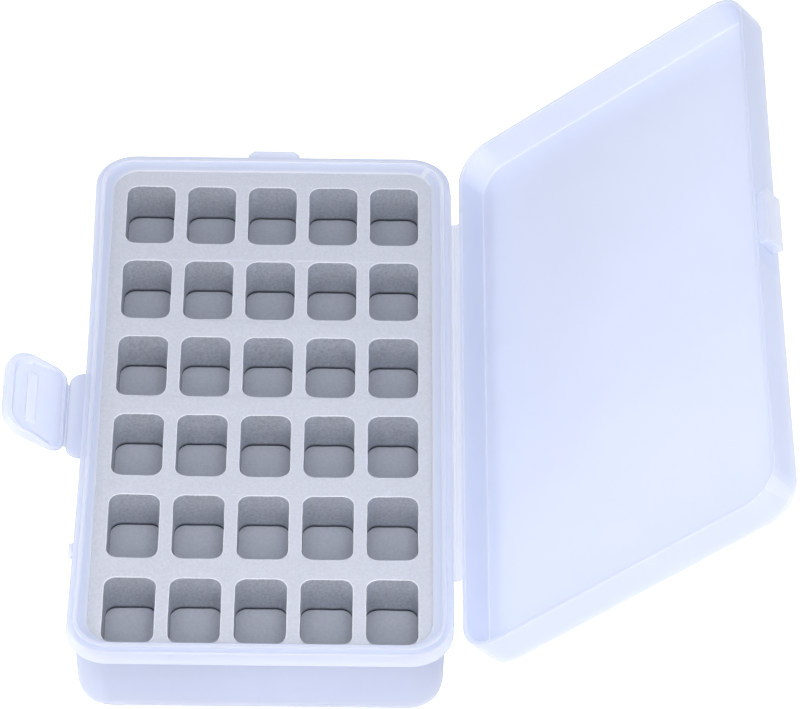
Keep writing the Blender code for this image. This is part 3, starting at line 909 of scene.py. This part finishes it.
class BOBBIN_OT_foam(bpy.types.Operator):
    """Builds the two foam sheets: the upper one cut through with pockets, the lower one plain"""

    bl_idname = "bobbin_box.foam"
    bl_label = "Foam insert"

    def execute(self, context):
        scene = context.scene
        s = scene.bobbin_foam
        self.upper_sheet(s, [scene["foam_skin"], scene["foam_cut"], scene["foam_edge_highlight"]])
        self.lower_sheet(s, scene["foam_skin"])
        return {"FINISHED"}

    def upper_sheet(self, s, materials):
        """The sheet with the pockets: its skin, its cut walls and the edges between them, painted
        paler as a highlight.
        """
        half = (BLOCK_HIGH - BLOCK_LOW) / 2
        middle = (BLOCK_HIGH + BLOCK_LOW) / 2
        rim = rounded_rectangle(half.x, half.y, s.sheet_radius)
        outlines = [[point + middle.xy for point in rim]]
        cut = rounded_rectangle(
            s.pocket_width / 2, s.pocket_length / 2, s.pocket_radius, FITTING_STEPS
        )
        pocket = fine_outline(cut, MM)
        for number, (low, high) in enumerate(POCKET_BOXES):
            centre = (Vector(low[:2]) + Vector(high[:2])) / 2
            outlines.append([p + centre for p in wandering(pocket, number, s.wander)])
        upper = cut_sheet(
            "foam_grid", outlines, BLOCK_LOW.z, BLOCK_HIGH.z, s.cut_edge, materials
        )
        # Upright faces take the cut foam; the rounded edges away from the sheet's rim take the
        # painted highlight
        for face in upper.data.polygons:
            rise = face.normal.z
            if abs(rise) < WALL_TILT:
                face.material_index = 1
            elif rise < SKIN_TILT and self.off_rim(face.center, half, middle, s.pocket_radius / 2):
                face.material_index = 2
        self.settle_sheet(upper, s, half, middle)
        smooth(upper)
        self.place(upper, "foam_block", "grey_foam_block")

    def lower_sheet(self, s, material):
        """The plain sheet that is the floor of the pockets."""
        half = (FLOOR_HIGH - FLOOR_LOW) / 2
        middle = (FLOOR_HIGH + FLOOR_LOW) / 2
        section = round_corners(
            [
                (half.x, FLOOR_LOW.z, 0),
                (0, FLOOR_LOW.z, s.lower_edge),
                (0, FLOOR_HIGH.z, s.cut_edge),
                (half.x, FLOOR_HIGH.z, 0),
            ]
        )
        lower = add_piece("foam_base", shell(section, half.x, half.y, s.sheet_radius), material)
        lower.data.transform(Matrix.Translation((middle.x, middle.y, 0)))
        smooth(lower)
        self.place(lower, "foam_floor", "grey_foam_floor")

    def off_rim(self, point, half, middle, margin):
        """True where a point lies away from the sheet's own rim."""
        flat = point - middle
        return abs(flat.x) < half.x - margin and abs(flat.y) < half.y - margin

    def settle_sheet(self, sheet, s, half, middle):
        """Rounds the sheet's rim over, lets its middle sag and its far end stand up."""
        widen = s.worn_edge / s.cut_edge
        for vert in sheet.data.vertices:
            flat = vert.co - middle
            drop = half.z - flat.z
            if drop > s.cut_edge * SLACK:
                continue
            past_x = max(abs(flat.x) - half.x + s.sheet_radius, 0)
            past_y = max(abs(flat.y) - half.y + s.sheet_radius, 0)
            over = Vector((past_x, past_y))
            inset = s.sheet_radius - over.length
            if inset < s.cut_edge * SLACK and over.length > 0:
                push = -over.normalized() * inset * (widen - 1)
                vert.co.x += math.copysign(push.x, flat.x)
                vert.co.y += math.copysign(push.y, flat.y)
                vert.co.z -= drop * (widen / 2 - 1)
            across, along = flat.x / half.x, flat.y / half.y
            vert.co.z -= s.sag * (1 - across**2) * (1 - along**4)
            vert.co.z += s.lift * max(along, 0) ** 6

    def place(self, piece, cad_node, slot):
        """Puts a sheet in the tray in place of its plain solid."""
        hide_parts(cad_node)
        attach(piece, "base")


class BOBBIN_OT_finishes(bpy.types.Operator):
    """Mixes the plastics and the foams"""

    bl_idname = "bobbin_box.finishes"
    bl_label = "Finishes"

    def execute(self, context):
        s, scene = context.scene.bobbin_finish, context.scene
        collar_z = rim_sizes(scene.bobbin_tray)[2] - scene.bobbin_tray.collar_height
        case = (s.case, s.cover, s.glow, s.roughness)
        collar = (collar_z, s.stout_cover, s.stout_glow)
        thin = (s.thin, s.thin_cover, s.thin_glow, s.roughness)
        scene["case_plastic"] = frosted_plastic("case_plastic", *case)
        scene["tray_plastic"] = frosted_plastic("tray_plastic", *case, stout=collar)
        scene["thin_plastic"] = frosted_plastic("thin_plastic", *thin)
        scene["foam_skin"] = grey_foam("foam_skin", s.foam, 1500.0, 0.07)
        # The cut foam has painted shade at the foot of its walls
        scene["foam_cut"] = grey_foam("foam_cut", s.cut, 1100.0, 0.2, BLOCK_LOW.z)
        # Painted highlight: a paler copy of the foam for the rounded cut edges
        scene["foam_edge_highlight"] = grey_foam("foam_edge_highlight", s.foam_edge_highlight, 1500.0, 0.07)
        return {"FINISHED"}


class BOBBIN_OT_stage(bpy.types.Operator):
    """Sets the floor, the soft lights and the camera"""

    bl_idname = "bobbin_box.stage"
    bl_label = "Stage"

    def execute(self, context):
        self.floor()
        self.sky(context)
        self.lamps(context)
        self.camera(context)
        context.scene.view_settings.view_transform = "Standard"
        return {"FINISHED"}

    def lamps(self, context):
        """Square soft lights all round the box, turned towards it."""
        for name, place, size, power, colour in LAMPS:
            light = bpy.data.lights.new(name, "AREA")
            light.shape = "SQUARE"
            light.size = size
            light.energy = power
            light.color = colour
            lamp = bpy.data.objects.new(name, light)
            lamp.location = place
            lamp.rotation_mode = "QUATERNION"
            aim = LAMPS_AIM - Vector(place)
            lamp.rotation_quaternion = aim.to_track_quat("-Z", "Y")
            context.scene.collection.objects.link(lamp)

    def floor(self):
        """A pale floor that shows white and keeps a faint shadow."""
        bm = bmesh.new()
        bmesh.ops.create_grid(bm, x_segments=1, y_segments=1, size=6)
        material, tree, shader = nodes_of("floor_paper")
        path = node(tree, "ShaderNodeLightPath").outputs
        seen = path["Is Camera Ray"]
        for way in ("Is Glossy Ray", "Is Transmission Ray"):
            seen = node(tree, "ShaderNodeMath", seen, path[way], operation="MAXIMUM").outputs[0]
        glow = node(tree, "ShaderNodeMath", seen, 0.6, operation="MULTIPLY").outputs[0]
        feed(tree, shader, Base_Color=(0.9, 0.9, 0.9, 1), Roughness=1, Specular_IOR_Level=0)
        feed(tree, shader, Emission_Color=(1, 1, 1, 1), Emission_Strength=glow)
        floor = add_piece("floor", bm, material)
        floor.location.z = -FLOOR_GAP

    def sky(self, context):
        """White all round for what sees it, and a soft even light."""
        world = bpy.data.worlds.new("studio")
        world.use_nodes = True
        tree = world.node_tree
        seen = node(tree, "ShaderNodeLightPath").outputs["Is Camera Ray"]
        light = node(tree, "ShaderNodeMapRange", Value=seen, To_Min=0.31, To_Max=1).outputs[0]
        feed(tree, tree.nodes["Background"], Color=(1, 1, 1, 1), Strength=light)
        context.scene.world = world

    def camera(self, context):
        """The photograph's view: a long lens, a little rolled."""
        place = Vector((24.76, -820.94, 917.69)) * MM
        target = Vector((35.79, 15.85, 26.81)) * MM
        roll = math.radians(1.20)
        back = (place - target).normalized()
        right = Vector((0, 0, 1)).cross(back).normalized()
        up = back.cross(right)
        tilted_right = right * math.cos(roll) + up * math.sin(roll)
        tilted_up = up * math.cos(roll) - right * math.sin(roll)
        lens = bpy.data.cameras.new("camera")
        lens.lens = 202.5
        lens.sensor_width = 36
        lens.clip_end = 20
        camera = bpy.data.objects.new("camera", lens)
        axes = Matrix((tilted_right, tilted_up, back)).transposed().to_4x4()
        camera.matrix_world = Matrix.Translation(place) @ axes
        context.scene.collection.objects.link(camera)
        context.scene.camera = camera


class BOBBIN_PT_pieces(bpy.types.Panel):
    """Lists the steps that build the box, with the sizes and colours of each."""

    bl_idname = "BOBBIN_PT_pieces"
    bl_label = "Bobbin box"
    bl_space_type = "VIEW_3D"
    bl_region_type = "UI"
    bl_category = "Bobbin box"

    def draw(self, context):
        for operator, group in STEPS:
            column = self.layout.column(align=True)
            column.operator(operator.bl_idname)
            if group:
                settings = getattr(context.scene, group)
                for name in settings.__annotations__:
                    column.prop(settings, name)


GROUPS = {
    "bobbin_tray": TraySettings,
    "bobbin_lid": LidSettings,
    "bobbin_hinge": HingeSettings,
    "bobbin_flap": FlapSettings,
    "bobbin_foam": FoamSettings,
    "bobbin_finish": FinishSettings,
}
STEPS = (
    (BOBBIN_OT_finishes, "bobbin_finish"),
    (BOBBIN_OT_stage, None),
    (BOBBIN_OT_tray, "bobbin_tray"),
    (BOBBIN_OT_foam, "bobbin_foam"),
    (BOBBIN_OT_lid, "bobbin_lid"),
    (BOBBIN_OT_hinge, "bobbin_hinge"),
    (BOBBIN_OT_latch, "bobbin_flap"),
)


def register():
    """Adds the settings, the operators and the panel."""
    for name, group in GROUPS.items():
        bpy.utils.register_class(group)
        setattr(bpy.types.Scene, name, PointerProperty(type=group))
    for operator, _ in STEPS:
        bpy.utils.register_class(operator)
    bpy.utils.register_class(BOBBIN_PT_pieces)


def unregister():
    """Takes them out again."""
    bpy.utils.unregister_class(BOBBIN_PT_pieces)
    for operator, _ in reversed(STEPS):
        bpy.utils.unregister_class(operator)
    for name, group in GROUPS.items():
        delattr(bpy.types.Scene, name)
        bpy.utils.unregister_class(group)


def main():
    """Builds the box piece by piece."""
    register()
    bpy.ops.bobbin_box.finishes()
    bpy.ops.bobbin_box.stage()
    bpy.ops.bobbin_box.tray()
    bpy.ops.bobbin_box.foam()
    bpy.ops.bobbin_box.lid()
    bpy.ops.bobbin_box.hinge()
    bpy.ops.bobbin_box.latch()


if __name__ == "__main__":
    main()
